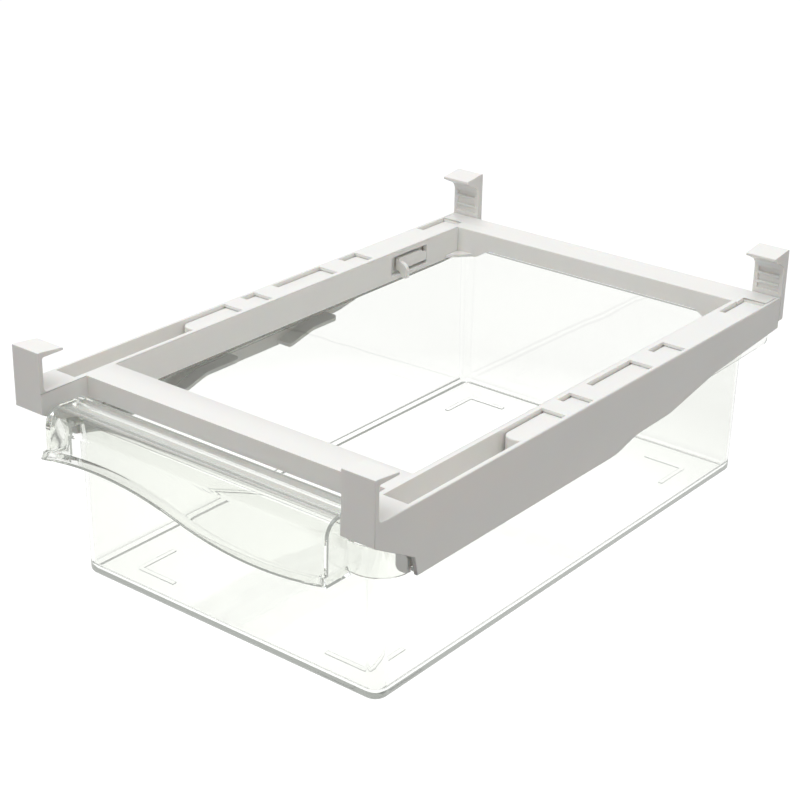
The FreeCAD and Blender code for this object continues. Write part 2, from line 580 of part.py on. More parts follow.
# ------------------------------------------------- pieces that come in a left and a right
def sided(side, low, high):
    """The two levels of a pad on the right side (1), or of its image on the left (-1)."""
    return (low, high) if side > 0 else (f"-({high})", f"-({low})")


def flip(side, corners):
    """The corners of a loop drawn across X, on the right side (1) or the left (-1)."""
    return [(f"{side} * ({corner[0]})",) + tuple(corner[1:]) for corner in corners]


def build_latch(name, side):
    """A spring tongue in the rail's inner wall, with a thumb fin and a detent tooth."""
    body = new_body(name)
    tongue_out = f"({RAIL_IN} + TongueThick)"
    root = f"({WINDOW_REAR} - RunClear)"
    tooth_foot = f"({TONGUE_FOOT} + (LatchDepth - ToothHeight) / 2)"
    pad(body, "Tongue", "YZ_Plane", *sided(side, RAIL_IN, tongue_out),
        [
            (TONGUE_TIP, TONGUE_FOOT),
            (root, TONGUE_FOOT),
            (root, f"{TONGUE_TOP} - HeelDrop"),
            (f"{root} - HeelLength", f"{TONGUE_TOP} - HeelDrop", "HeelRound"),
            (f"{root} - HeelLength - HeelDrop", TONGUE_TOP, "HeelRound"),
            (TONGUE_TIP, TONGUE_TOP),
        ])
    pad(body, "Fin", "XZ_Plane", TONGUE_TIP, f"{TONGUE_TIP} + FinThick", flip(side, [
        (f"{RAIL_IN} - FinReach", f"{TONGUE_FOOT} - FinDrop", "TopRound"),
        (f"{RAIL_IN} - FinReach / 2", f"{TONGUE_FOOT} - FinDrop", "TopRound"),
        (RAIL_IN, f"{TONGUE_FOOT}"),
        (tongue_out, TONGUE_FOOT),
        (tongue_out, f"{TONGUE_TOP} - FinLow"),
        (f"{RAIL_IN} - FinReach", f"{TONGUE_TOP} - FinLow", "FinRound"),
    ]))
    pad(body, "Tooth", "XY_Plane", tooth_foot, f"{tooth_foot} + ToothHeight", flip(side, [
        (f"{tongue_out} - BarWall / 2", f"{TONGUE_TIP} + FinThick"),
        (f"{ARM_IN} - RunClear", f"{TONGUE_TIP} + FinThick + ToothLength / 3"),
        (f"{ARM_IN} - RunClear", f"{TONGUE_TIP} + FinThick + ToothLength * 2 / 3"),
        (f"{tongue_out} - BarWall / 2", f"{TONGUE_TIP} + FinThick + ToothLength"),
    ]))
    return body


def build_rear_hook(name, side):
    """A height-adjustable hook: a ribbed strap on a T-shaped key that runs in the corner block."""
    body = new_body(name)
    inner, outer = f"({HALF} - StrapWidth)", HALF
    back = f"({STRAP_FACE} + StrapThick)"
    crest = "(RailTop + StrapRise)"
    tip = f"({back} - RearReach)"
    pad(body, "Strap", "YZ_Plane", *sided(side, inner, outer), [
        (STRAP_FACE, "RailTop - StrapDrop"),
        (back, "RailTop - StrapDrop"),
        (back, crest, "FlangeTip"),
        (tip, f"{crest} - RearDroop"),
        (tip, f"{crest} - RearDroop - RearTip"),
        (STRAP_FACE, f"{crest} - RearRoot", "RearCove"),
    ])
    pocket(body, "Panel", "XZ_Plane", STRAP_FACE, f"{STRAP_FACE} + PanelDepth",
           flip(side, rectangle(f"{inner} + PanelMargin", "RailTop + PanelStart",
                                f"{outer} - PanelMargin", "RailTop + PanelStart + PanelHeight")))
    rib = pad(body, "GripRib", "XZ_Plane", STRAP_FACE, f"{STRAP_FACE} + PanelDepth",
              flip(side, rectangle(f"{inner} + PanelMargin", "RailTop + PanelStart + RibPitch / 2",
                                   f"{outer} - PanelMargin",
                                   "RailTop + PanelStart + RibPitch / 2 + RibThick")))
    row_of(body, "GripRibs", rib, "XY_Plane", "RibPitch", "RibCount")
    key_top = f"({SKIN_UNDER} - RunClear - KeyUp)"
    neck_front = "(FrameLength - KeyNeckDepth - RunClear)"
    pad(body, "KeyNeckPad", "XY_Plane", f"{key_top} - KeyHeight", key_top,
        flip(side, rectangle(f"{STRAP_MID} - KeyNeck / 2", neck_front,
                             f"{STRAP_MID} + KeyNeck / 2", f"{STRAP_FACE} + PanelDepth")))
    pad(body, "KeyHeadPad", "XY_Plane", f"{key_top} - KeyHeight", key_top,
        flip(side, rectangle(f"{STRAP_MID} - KeyHead / 2", f"{neck_front} - KeyHeadDepth",
                             f"{STRAP_MID} + KeyHead / 2", neck_front)))
    return body


# ---------------------------------------------------------------------------- drawer
def tub_loop(inset):
    """The drawer's rounded outline, shrunk by the inset."""
    side = f"({DRAWER_OUT} - ({inset}))"
    return rectangle(f"-{side}", f"DrawerFront + ({inset})", side, f"{DRAWER_REAR} - ({inset})",
                     f"DrawerCorner - ({inset})")


def loft(body, kind, name, low, low_loop, high, high_loop):
    """An additive or subtractive loft between two loops at two heights."""
    feature = body.newObject(kind, f"{body.Name}_{name}")
    feature.Profile = sketch(body, name + "Low", "XY_Plane", low, [low_loop])
    feature.Sections = [sketch(body, name + "High", "XY_Plane", high, [high_loop])]
    feature.Ruled = True
    return settle(feature)


WAVE_RADIUS = "((WaveLength * WaveLength / 4 + WaveHeight * WaveHeight) / (2 * WaveHeight))"


def wave_height(across, lift):
    """Heights of the wavy edge to the left and to the right, on its two circular bows."""
    heights = []
    for side in (-1, 1):
        from_bow = f"({across} + {side} * WaveShift - WaveLength / 2)"
        bow = f"(sqrt({WAVE_RADIUS} ^ 2 - {from_bow} ^ 2) - {WAVE_RADIUS} + WaveHeight)"
        heights.append(f"({WAVE_MID} + {lift} - {side} * {bow})")
    return heights


def draw_wave(drawing, lift):
    """Draws the two bows of the wavy edge from end to end of the hood; returns their numbers."""
    left_high, right_low = wave_height(HOOD_OUT, lift)
    ends = [(f"-{HOOD_OUT}", left_high), ("-WaveShift", f"{WAVE_MID} + {lift}"), (HOOD_OUT, right_low)]
    bows = []
    for (x_start, z_start), (x_end, z_end), bow_side in ((ends[0], ends[1], 1), (ends[1], ends[2], -1)):
        crown = FreeCAD.Vector(-bow_side * value("WaveLength") / 2 - value("WaveShift"),
                               value(f"{WAVE_MID} + {lift}") + bow_side * value("WaveHeight"), 0)
        start = FreeCAD.Vector(value(x_start), value(z_start), 0)
        finish = FreeCAD.Vector(value(x_end), value(z_end), 0)
        bows.append(drawing.addGeometry(Part.Arc(start, crown, finish), False))
    for bow, (left, right), flipped in ((bows[0], ends[0:2], True), (bows[1], ends[1:3], False)):
        first, last = (2, 1) if flipped else (1, 2)
        for end, (x_end, z_end) in ((first, left), (last, right)):
            if bow == bows[1] and end == first:
                continue
            for axis, text in (("DistanceX", x_end), ("DistanceY", z_end)):
                size = drawing.addConstraint(Sketcher.Constraint(axis, -1, 1, bow, end, value(text)))
                drawing.setExpression(f"Constraints[{size}]", bound(text))
        size = drawing.addConstraint(Sketcher.Constraint("Radius", bow, value(WAVE_RADIUS)))
        drawing.setExpression(f"Constraints[{size}]", bound(WAVE_RADIUS))
    drawing.addConstraint(Sketcher.Constraint("Coincident", bows[0], 1, bows[1], 1))
    return bows


def build_drawer():
    """The clear drawer: tub, rim with skirt, hooded handle with a wavy lip, and feet."""
    body = new_body("drawer")
    skirt_low = f"({LEDGE_LOW} + LedgeThick + RunClear)"
    skirt_high = f"({LEDGE_HIGH} + LedgeThick + RunClear)"
    pad(body, "Rim", "XY_Plane", SKIRT_FOOT, RIM_TOP, [
        (f"-{RIM_OUT}", "RimFront", "RimCorner"),
        (RIM_OUT, "RimFront", "RimCorner"),
        (RIM_OUT, RIM_REAR),
        (f"-{RIM_OUT}", RIM_REAR),
    ])
    pocket(body, "RimHollow", "XY_Plane", SKIRT_FOOT, RIM_UNDER, [
        (f"-({RIM_OUT} - SkirtWall)", "RimFront + SkirtWall", "RimCorner - SkirtWall"),
        (f"{RIM_OUT} - SkirtWall", "RimFront + SkirtWall", "RimCorner - SkirtWall"),
        (f"{RIM_OUT} - SkirtWall", RIM_REAR),
        (f"-({RIM_OUT} - SkirtWall)", RIM_REAR),
    ])
    pocket(body, "SkirtEdge", "YZ_Plane", f"-{RIM_OUT}", RIM_OUT, [
        ("NoseLength + NoseStep - RimSide", SKIRT_FOOT),
        (RIM_REAR, SKIRT_FOOT),
        (RIM_REAR, f"{skirt_high} + SkirtRear"),
        ("StepStart + StepRun - RimSide", skirt_high),
        ("StepStart - RimSide", skirt_low),
        ("NoseLength + NoseStep - RimSide", skirt_low),
    ])
    heel_room = f"({RIM_UNDER} - {skirt_high} - SkirtRear)"
    round_edges(body, "SkirtHeel", f"min(SkirtRound; {heel_room} * 0.9)",
                lambda centre, run, length: along(run, 0) and near(centre.y, RIM_REAR)
                and near(centre.z, f"{skirt_high} + SkirtRear"))
    loft(body, "PartDesign::AdditiveLoft", "Tub", "FeetHeight", tub_loop("0"),
         RIM_TOP, tub_loop("-DrawerDraft"))
    hood_foot = f"({WAVE_MID} - 2 * WaveHeight)"
    pad(body, "Hood", "YZ_Plane", f"-{HOOD_OUT}", HOOD_OUT, [
        ("RimFront", RIM_UNDER),
        ("HandleBack", RIM_UNDER),
        ("HandleBack", f"{HOOD_TOP} - FlangeDroop", "HandleWall"),
        ("FlangeDroop / 2 - HandleLead", HOOD_TOP, "HandleRound"),
        ("-HandleLead", hood_foot),
        ("RimFront", hood_foot),
    ])
    pocket(body, "HoodHollow", "YZ_Plane", f"-({HOOD_OUT} - HandleWall)", f"{HOOD_OUT} - HandleWall", [
        ("HandleBack - HandleWall", hood_foot),
        ("HandleBack - HandleWall", f"{HOOD_TOP} - FlangeDroop - HandleWall"),
        ("FlangeDroop / 2 - HandleLead + HandleWall", f"{HOOD_TOP} - HandleWall", "HandleRound - HandleWall"),
        ("HandleWall - HandleLead", hood_foot),
    ])
    cut_wave(body, hood_foot)
    add_lip(body)
    loft(body, "PartDesign::SubtractiveLoft", "TubInside", "FeetHeight + DrawerFloor",
         tub_loop("DrawerWall"), RIM_TOP, tub_loop("DrawerWall - DrawerDraft"))
    round_edges(body, "FloorInside", "FloorRound",
                lambda centre, run, length: near(centre.z, "FeetHeight + DrawerFloor"))
    round_edges(body, "Base", "BaseRound",
                lambda centre, run, length: near(centre.z, "FeetHeight"))
    feet = []
    for side in (-1, 1):
        across = f"({DRAWER_OUT} - FootSide)"
        for along_y, turn in (("(DrawerFront + FootFront)", 1), (f"({DRAWER_REAR} - FootRear)", -1)):
            feet.append(flip(side, [
                (across, along_y, "FootRound"),
                (f"{across} - FootLeg", along_y),
                (f"{across} - FootLeg", f"{along_y} + {turn} * FootWidth"),
                (f"{across} - FootWidth", f"{along_y} + {turn} * FootWidth"),
                (f"{across} - FootWidth", f"{along_y} + {turn} * FootLeg"),
                (across, f"{along_y} + {turn} * FootLeg"),
            ]))
    pad(body, "Feet", "XY_Plane", "0", "FeetHeight + DrawerFloor / 2", *feet)
    return body


def cut_wave(body, hood_foot):
    """Trims the hood's front and ends along the crease above its wavy lip."""
    level = "HandleLead + LipReach"
    drawing = sketch(body, "WaveCutSketch", "XZ_Plane", level, [])
    draw_wave(drawing, "LipHeight")
    left_high, right_low = wave_height(HOOD_OUT, "LipHeight")
    corners = [(f"-{HOOD_OUT}", left_high), (f"-{HOOD_OUT}", hood_foot), (HOOD_OUT, hood_foot),
               (HOOD_OUT, right_low)]
    for start, end in zip(corners, corners[1:]):
        first = FreeCAD.Vector(value(start[0]), value(start[1]), 0)
        last = FreeCAD.Vector(value(end[0]), value(end[1]), 0)
        side = drawing.addGeometry(Part.LineSegment(first, last), False)
        for point, corner in ((1, start), (2, end)):
            for axis, text in (("DistanceX", corner[0]), ("DistanceY", corner[1])):
                size = drawing.addConstraint(Sketcher.Constraint(axis, -1, 1, side, point, value(text)))
                drawing.setExpression(f"Constraints[{size}]", bound(text))
    before = body.Shape.Volume
    feature = body.newObject("PartDesign::Pocket", f"{body.Name}_WaveCut")
    feature.Profile = drawing
    feature.setExpression("Length", bound("HandleLead + LipReach + RimFront"))
    settle(feature)
    if body.Shape.Volume > before - 1e-3:
        raise RuntimeError("drawer: the wave cuts nothing")


def add_lip(body):
    """Sweeps the flared lip along the wavy edge and turns it round both ends of the hood."""
    left_high, right_low = wave_height(HOOD_OUT, "0")
    spine = sketch(body, "LipSpine", "XZ_Plane", "HandleLead", [])
    draw_wave(spine, "0")
    section = sketch(body, "LipSection", "YZ_Plane", f"-{HOOD_OUT}", [[
        ("-HandleLead - LipReach", left_high),
        ("HandleWall - HandleLead - LipReach", left_high),
        ("HandleWall - HandleLead", f"{left_high} + LipHeight"),
        ("HandleWall - HandleLead", f"{left_high} + LipHeight + FlangeTip"),
        ("-HandleLead", f"{left_high} + LipHeight + FlangeTip"),
        ("-HandleLead", f"{left_high} + LipHeight"),
    ]])
    doc.recompute()
    lip = body.newObject("PartDesign::AdditivePipe", f"{body.Name}_Lip")
    lip.Profile = section
    lip.Spine = (spine, ["Edge1", "Edge2"])
    lip.Mode = "Fixed"
    settle(lip)
    for name, side, edge in (("LipLeft", -1, left_high), ("LipRight", 1, right_low)):
        pad(body, name, "XZ_Plane", "-HandleLead - LipReach", "RimFront", flip(side, [
            (f"{HOOD_OUT} + LipReach", edge),
            (f"{HOOD_OUT} + LipReach - HandleWall", edge),
            (f"{HOOD_OUT} - HandleWall", f"{edge} + LipHeight"),
            (f"{HOOD_OUT} - HandleWall", f"{edge} + LipHeight + FlangeTip"),
            (HOOD_OUT, f"{edge} + LipHeight + FlangeTip"),
            (HOOD_OUT, f"{edge} + LipHeight"),
        ]))


# ------------------------------------------------------------------- build and export
def main():
    """Builds every piece, checks the document and writes one STEP file per piece."""
    pieces = [
        build_front_frame(),
        build_rear_frame(),
        build_latch("latch_left", -1),
        build_latch("latch_right", 1),
        build_rear_hook("rear_hook_left", -1),
        build_rear_hook("rear_hook_right", 1),
        build_drawer(),
    ]
    doc.recompute()
    for item in doc.Objects:
        if {"Invalid", "Error"} & set(item.State):
            raise RuntimeError(f"{item.Label} failed: {item.State}")
    os.makedirs("parts", exist_ok=True)
    for piece in pieces:
        if piece.Shape.isNull() or not piece.Shape.isValid():
            raise RuntimeError(f"{piece.Label} has no valid shape")
        if len(piece.Shape.Solids) != 1:
            raise RuntimeError(f"{piece.Label} is {len(piece.Shape.Solids)} solids")
        piece.Shape.exportStep(f"parts/{piece.Label}.step")


main()
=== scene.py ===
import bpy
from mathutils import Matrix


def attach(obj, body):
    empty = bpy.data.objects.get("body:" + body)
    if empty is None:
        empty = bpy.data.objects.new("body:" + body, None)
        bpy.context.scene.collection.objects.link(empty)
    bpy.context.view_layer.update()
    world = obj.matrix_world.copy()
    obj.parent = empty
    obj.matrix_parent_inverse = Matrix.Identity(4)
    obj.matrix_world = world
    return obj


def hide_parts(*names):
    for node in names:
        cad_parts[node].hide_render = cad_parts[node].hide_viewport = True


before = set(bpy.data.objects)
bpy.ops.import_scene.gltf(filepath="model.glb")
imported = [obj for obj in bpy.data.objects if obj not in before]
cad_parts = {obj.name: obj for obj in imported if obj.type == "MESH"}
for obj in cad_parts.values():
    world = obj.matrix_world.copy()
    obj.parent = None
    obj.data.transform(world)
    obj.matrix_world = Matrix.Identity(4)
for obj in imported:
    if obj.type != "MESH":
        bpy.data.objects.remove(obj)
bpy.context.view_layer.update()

import math

import bmesh
import bpy
from bpy.props import FloatProperty, FloatVectorProperty, IntProperty, PointerProperty
from mathutils import Matrix, Vector
from mathutils.geometry import tessellate_polygon

bl_info = {
    "name": "Fridge Drawer Organizer",
    "version": (1, 0, 0),
    "blender": (4, 5, 0),
    "location": "View3D > Sidebar > Organizer",
    "description": "Moulded white hanging frame with a clear sliding drawer",
    "category": "Add Mesh",
}

MM = 0.001
STRAP_FACE = 160.1 * MM     # front face of a rear hook's strap
STRAP_MIDDLE = 94.35 * MM   # middle of the strap, out from the centre line
LOWEST_RIB = 103.2 * MM     # middle of the lowest grip rib above the table
RIB_INSET = 0.4 * MM        # how far behind the strap's face the middle of a rib lies
FOOT_SIDES = 0.49 * MM      # the feet's sides end just below this height
SHARP_EDGE = math.radians(35)
SAME_POINT = 0.002 * MM     # corners closer than this are one corner
ABS_WHITE = "moulded_white_abs"

FLOOR_REACH = 6.0           # half the side of the floor, in metres
FLOOR_DROP = 0.2 * MM       # the floor lies this far below the feet, so that the two don't flicker
FIELD_HALF = (0.6, 0.9)     # the white paper fades between these, left and right of the middle
FIELD_FRONT = (-0.35, -0.65)   # and between these towards the camera
WALL_FADE = (-0.3, 0.4)     # the same for the room's walls, as a share of facing the camera
POOL = (0.12, 0.22)         # the pool of light under the object fades between these
CAMERA_PLACE = (0.49650, -0.64453, 0.42865)
CAMERA_AROUND, CAMERA_UP, CAMERA_ROLL = (math.radians(a) for a in (38.29, 24.05, 1.04))
CAMERA_LENS = 84.226        # for a 36 mm wide sensor
LAMP_PLACE, LAMP_AIM, LAMP_SIZE = (-0.1, -0.2, 1.6), (0, 0, 0.05), 1.8
TO_CAMERA = (0.566, -0.717, 0.407)


# ---------------------------------------------------------------- colours and nodes
def linear(code):
    """The linear RGBA of an sRGB hex colour."""
    parts = [int(code[i:i + 2], 16) / 255 for i in (1, 3, 5)]
    parts = [c / 12.92 if c <= 0.04045 else ((c + 0.055) / 1.055) ** 2.4 for c in parts]
    return (*parts, 1.0)


def add(tree, kind, inputs=None, **settings):
    """Adds a node with its settings, and its inputs as values or as sockets to link."""
    node = tree.nodes.new(kind)
    for name, value in settings.items():
        setattr(node, name, value)
    for name, value in (inputs or {}).items():
        if isinstance(value, bpy.types.NodeSocket):
            tree.links.new(value, node.inputs[name])
        else:
            node.inputs[name].default_value = value
    return node


def new_material(name):
    """An empty node material and its output node."""
    material = bpy.data.materials.new(name)
    material.use_nodes = True
    material.node_tree.nodes.clear()
    return material, add(material.node_tree, "ShaderNodeOutputMaterial")


def moulded_abs(look):
    """White ABS, injection moulded in a fine spark-eroded tool.

    It is a satin, faintly warm white. Light goes about a millimetre into it and comes out
    warmer, so narrow slots glow a little brown. The tool leaves a grain of some 0.4 mm, and
    the flow of the melt leaves the gloss slightly uneven over a few centimetres.
    """
    material, output = new_material(ABS_WHITE)
    tree = material.node_tree
    place = add(tree, "ShaderNodeTexCoord")
    grain = add(tree, "ShaderNodeTexNoise", {
        "Vector": place.outputs["Object"], "Scale": 1 / (0.4 * MM), "Detail": 1.0})
    flow = add(tree, "ShaderNodeTexNoise", {
        "Vector": place.outputs["Object"], "Scale": 1 / (45 * MM), "Detail": 2.0})
    tint = add(tree, "ShaderNodeMix", {
        0: flow.outputs["Fac"], 6: look.colour, 7: look.flow_colour}, data_type="RGBA")
    gloss = add(tree, "ShaderNodeMapRange", {
        "Value": flow.outputs["Fac"],
        "To Min": look.roughness - 0.04, "To Max": look.roughness + 0.05})
    bump = add(tree, "ShaderNodeBump", {
        "Height": grain.outputs["Fac"], "Strength": 0.06, "Distance": 0.1 * MM})
    shader = add(tree, "ShaderNodeBsdfPrincipled", {
        "Base Color": tint.outputs[2], "Roughness": gloss.outputs["Result"],
        "Normal": bump.outputs["Normal"], "IOR": 1.53,
        "Subsurface Weight": 0.3, "Subsurface Radius": (1.0, 0.65, 0.42),
        "Subsurface Scale": 1.8 * MM})
    tree.links.new(shader.outputs[0], output.inputs["Surface"])
    return material


def clear_styrene(look):
    """Clear polystyrene, injection moulded in a polished tool.

    It bends light strongly (IOR 1.59), so every edge shows as a thin dark and bright line,
    deepened by a dark tint painted into its colour where a wall is seen edge on, as painted shade.
    Its walls are a few hundredths out of flat over some 30 mm, which ripples reflections.
    Rays from lamps pass straight through, as through any thin clear wall. Where a reflected
    ray has bounced between its faces more than twice, a grey glow is painted in as emission,
    standing in for light that would otherwise end black. The sides of the feet are left matt by
    the tool and also take the dark edge-on tint as painted shade, so they show as fine grey lines
    through the floor.
    """
    material, output = new_material("clear_polystyrene")
    tree = material.node_tree
    place = add(tree, "ShaderNodeTexCoord")
    ripple = add(tree, "ShaderNodeTexNoise", {
        "Vector": place.outputs["Object"], "Scale": 1 / (28 * MM), "Detail": 1.0})
    bump = add(tree, "ShaderNodeBump", {
        "Height": ripple.outputs["Fac"], "Strength": 0.12, "Distance": 0.6 * MM})
    ray = add(tree, "ShaderNodeLightPath")
    # Painted glow: emission is painted where a reflected ray has bounced more than twice between
    # the faces, in place of light that would end black
    painted_glow_mask = add(tree, "ShaderNodeMath", {
        0: ray.outputs["Glossy Depth"], 1: 2.5}, operation="GREATER_THAN")
    painted_glow_strength = add(tree, "ShaderNodeMath", {
        0: painted_glow_mask.outputs[0], 1: ray.outputs["Is Reflection Ray"]}, operation="MULTIPLY")
    # Painted shade: a dark tint is mixed into the colour where a wall is seen edge on
    facing = add(tree, "ShaderNodeLayerWeight", {"Blend": 0.5})
    painted_rim_shade_mask = add(tree, "ShaderNodeMapRange", {
        "Value": facing.outputs["Facing"], "From Min": 0.72, "From Max": 0.96})
    spot = add(tree, "ShaderNodeSeparateXYZ", {0: place.outputs["Object"]})
    normal = add(tree, "ShaderNodeNewGeometry").outputs["Normal"]
    way = add(tree, "ShaderNodeSeparateXYZ", {0: normal})
    level = add(tree, "ShaderNodeMath", {0: way.outputs["Z"]}, operation="ABSOLUTE")
    upright = add(tree, "ShaderNodeMath", {0: level.outputs[0], 1: 0.5}, operation="LESS_THAN")
    low = add(tree, "ShaderNodeMath", {0: spot.outputs["Z"], 1: FOOT_SIDES}, operation="LESS_THAN")
    # The feet's upright sides: matt, which is real, and also given the dark tint as painted shade
    # so they read as grey lines
    foot_side = add(tree, "ShaderNodeMath", {
        0: upright.outputs[0], 1: low.outputs[0]}, operation="MULTIPLY")
    matt = add(tree, "ShaderNodeMath", {0: foot_side.outputs[0], 1: 0.5}, operation="MULTIPLY")
    # Painted shade: the dark tint goes where a wall is seen edge on or on a foot's side
    dark = add(tree, "ShaderNodeMath", {
        0: painted_rim_shade_mask.outputs["Result"], 1: foot_side.outputs[0]}, operation="MAXIMUM")
    body = add(tree, "ShaderNodeMix", {
        0: dark.outputs[0], 6: look.colour, 7: look.painted_rim_shade_colour}, data_type="RGBA")
    shader = add(tree, "ShaderNodeBsdfPrincipled", {
        "Base Color": body.outputs[2], "Roughness": matt.outputs[0], "IOR": 1.59,
        "Transmission Weight": 1.0, "Normal": bump.outputs["Normal"],
        "Emission Color": look.painted_glow_colour, "Emission Strength": painted_glow_strength.outputs[0]})
    through = add(tree, "ShaderNodeBsdfTransparent", {"Color": linear("#FBFBFA")})
    pick = add(tree, "ShaderNodeMixShader", {
        0: ray.outputs["Is Shadow Ray"], 1: shader.outputs[0], 2: through.outputs[0]})
    tree.links.new(pick.outputs[0], output.inputs["Surface"])
    return material


def seen_directly(tree):
    """1 for rays that show the background: from the camera, mirrored or through glass."""
    ray = add(tree, "ShaderNodeLightPath")
    mirrored = add(tree, "ShaderNodeMath", {
        0: ray.outputs["Is Camera Ray"], 1: ray.outputs["Is Glossy Ray"]}, operation="MAXIMUM")
    seen = add(tree, "ShaderNodeMath", {
        0: mirrored.outputs[0], 1: ray.outputs["Is Transmission Ray"]}, operation="MAXIMUM")
    return seen.outputs[0]


def room_light(tree, share, look):
    """How white the room is where a share of it is dark: all white to the camera, a little
    darker through clear walls, and darkest in what surfaces mirror."""
    ray = add(tree, "ShaderNodeLightPath")
    through = add(tree, "ShaderNodeMath", {
        0: ray.outputs["Is Transmission Ray"], 1: 1 - look.through_side}, operation="MULTIPLY")
    drop = add(tree, "ShaderNodeMath", {
        0: ray.outputs["Is Reflection Ray"], 1: 1 - look.dark_side, 2: through.outputs[0]},
        operation="MULTIPLY_ADD")
    loss = add(tree, "ShaderNodeMath", {0: share, 1: drop.outputs[0]}, operation="MULTIPLY")
    left = add(tree, "ShaderNodeMath", {0: 1.0, 1: loss.outputs[0]}, operation="SUBTRACT")
    return left.outputs[0]


def studio_paper(look):
    """Pale seamless paper: matt, and lifted to white where it is looked at, and lifted further
    in a painted pool of light under the object.

    Beside and in front of the bright field its mirror image falls off, as between black
    cards, and clear walls take the thin dark lines of their edges from there.
    """
    material, output = new_material("studio_paper")
    tree = material.node_tree
    matt = add(tree, "ShaderNodeBsdfDiffuse", {"Color": (look.floor_grey,) * 3 + (1.0,)})
    place = add(tree, "ShaderNodeTexCoord")
    spot = add(tree, "ShaderNodeSeparateXYZ", {0: place.outputs["Object"]})
    aside = add(tree, "ShaderNodeMath", {0: spot.outputs["X"]}, operation="ABSOLUTE")
    beside = add(tree, "ShaderNodeMapRange", {
        "Value": aside.outputs[0], "From Min": FIELD_HALF[0], "From Max": FIELD_HALF[1]})
    ahead = add(tree, "ShaderNodeMapRange", {
        "Value": spot.outputs["Y"], "From Min": FIELD_FRONT[0], "From Max": FIELD_FRONT[1]})
    outside = add(tree, "ShaderNodeMath", {
        0: beside.outputs["Result"], 1: ahead.outputs["Result"]}, operation="MAXIMUM")
    off = add(tree, "ShaderNodeVectorMath", {0: place.outputs["Object"]}, operation="LENGTH")
    # Painted pool of light: the lift seen on the paper is raised under the object and fades out
    # between the POOL radii
    pool = add(tree, "ShaderNodeMapRange", {
        "Value": off.outputs["Value"], "From Min": POOL[0], "From Max": POOL[1],
        "To Min": look.pool_lift, "To Max": look.floor_lift})
    paper_lift_with_painted_pool = add(tree, "ShaderNodeMath", {
        0: room_light(tree, outside.outputs[0], look), 1: pool.outputs["Result"]},
        operation="MULTIPLY")
    lift = add(tree, "ShaderNodeMath", {
        0: seen_directly(tree), 1: paper_lift_with_painted_pool.outputs[0]}, operation="MULTIPLY")
    glow = add(tree, "ShaderNodeEmission", {"Color": (1, 1, 1, 1), "Strength": lift.outputs[0]})
    both = add(tree, "ShaderNodeAddShader", {0: matt.outputs[0], 1: glow.outputs[0]})
    tree.links.new(both.outputs[0], output.inputs["Surface"])
    return material


# ------------------------------------------------------------------ mesh making
def folded_points(work):
    """Corners of faces that a rounding has folded over themselves or over a neighbour."""
    points = []
    for face in work.faces:
        if len(face.verts) > 3:
            corners = [vert.co for vert in face.verts]
            drawn = sum(
                (corners[b] - corners[a]).cross(corners[c] - corners[a]).length / 2
                for a, b, c in tessellate_polygon([corners]))
            if drawn > 1.004 * face.calc_area() + 1e-10:
                points += [corner.copy() for corner in corners]
    for edge in work.edges:
        if edge.is_manifold and edge.calc_face_angle(0) > math.radians(140):
            points += [vert.co.copy() for vert in edge.verts]
    return points


def near_segment(point, start, end, reach):
    """Whether a point is within reach of the line between two others."""
    run = end - start
    share = max(0, min(1, (point - start).dot(run) / run.length_squared))
    return (start + run * share - point).length < reach


def softened(source, radius, crisp_below):
    """A mesh like source with the edges that a mould polisher would break rounded.

    An edge stays crisp below a height, where it is too short for the radius, or where
    rounding it would fold a face beside it, so the rounding is tried again without those.
    """
    flat = bmesh.new()
    flat.from_mesh(source)
    bmesh.ops.remove_doubles(flat, verts=flat.verts, dist=SAME_POINT)
    bmesh.ops.dissolve_degenerate(flat, dist=SAME_POINT, edges=flat.edges)
    bmesh.ops.dissolve_limit(
        flat, angle_limit=math.radians(0.4), verts=flat.verts, edges=flat.edges)
    first = len(folded_points(flat))
    crisp = set()
    for attempt in range(12):
        work = flat.copy()
        work.edges.ensure_lookup_table()
        chosen = [
            edge for edge in work.edges
            if edge.index not in crisp and edge.is_manifold
            and edge.calc_face_angle(0) > SHARP_EDGE and edge.calc_length() > 5 * radius
            and max(vert.co.z for vert in edge.verts) > crisp_below
            and all(other.calc_length() > 2.5 * radius
                    for vert in edge.verts for other in vert.link_edges)]
        runs = [(edge.index, *(vert.co.copy() for vert in edge.verts)) for edge in chosen]
        bmesh.ops.bevel(
            work, geom=chosen, offset=radius, offset_type="OFFSET", segments=2, profile=0.5,
            affect="EDGES", clamp_overlap=False, miter_outer="ARC")
        folded = folded_points(work)
        if len(folded) <= first:
            break
        crisp |= {index for index, start, end in runs
                  if any(near_segment(point, start, end, 1.3 * radius) for point in folded)}
        work.free()
    else:
        raise RuntimeError("the rounding of a piece keeps folding its faces")
    flat.free()
    mesh = bpy.data.meshes.new("moulding")
    work.to_mesh(mesh)
    work.free()
    return mesh


def plain_mesh(context, piece):
    """Puts the result of a piece's modifiers in place of its mesh and removes them."""
    seen = piece.evaluated_get(context.evaluated_depsgraph_get())
    mesh = bpy.data.meshes.new_from_object(seen)
    piece.modifiers.clear()
    piece.data = mesh
    return mesh


def softened_copy(node, radius, crisp_below=0.0):
    """A piece with the shape of a CAD node and rounded edges."""
    mesh = softened(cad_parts[node].data, radius, crisp_below)
    piece = bpy.data.objects.new(f"{node}_moulding", mesh)
    bpy.context.scene.collection.objects.link(piece)
    return piece


def finish_piece(context, piece, node, material):
    """Shades a piece, gives it its material and puts it in a CAD node's place."""
    piece.data.materials.clear()
    piece.data.materials.append(material)
    piece.data.shade_smooth()
    piece.data.set_sharp_from_angle(angle=SHARP_EDGE)
    even = piece.modifiers.new("even", "WEIGHTED_NORMAL")
    even.keep_sharp = True
    plain_mesh(context, piece)
    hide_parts(node)
    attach(piece, node)


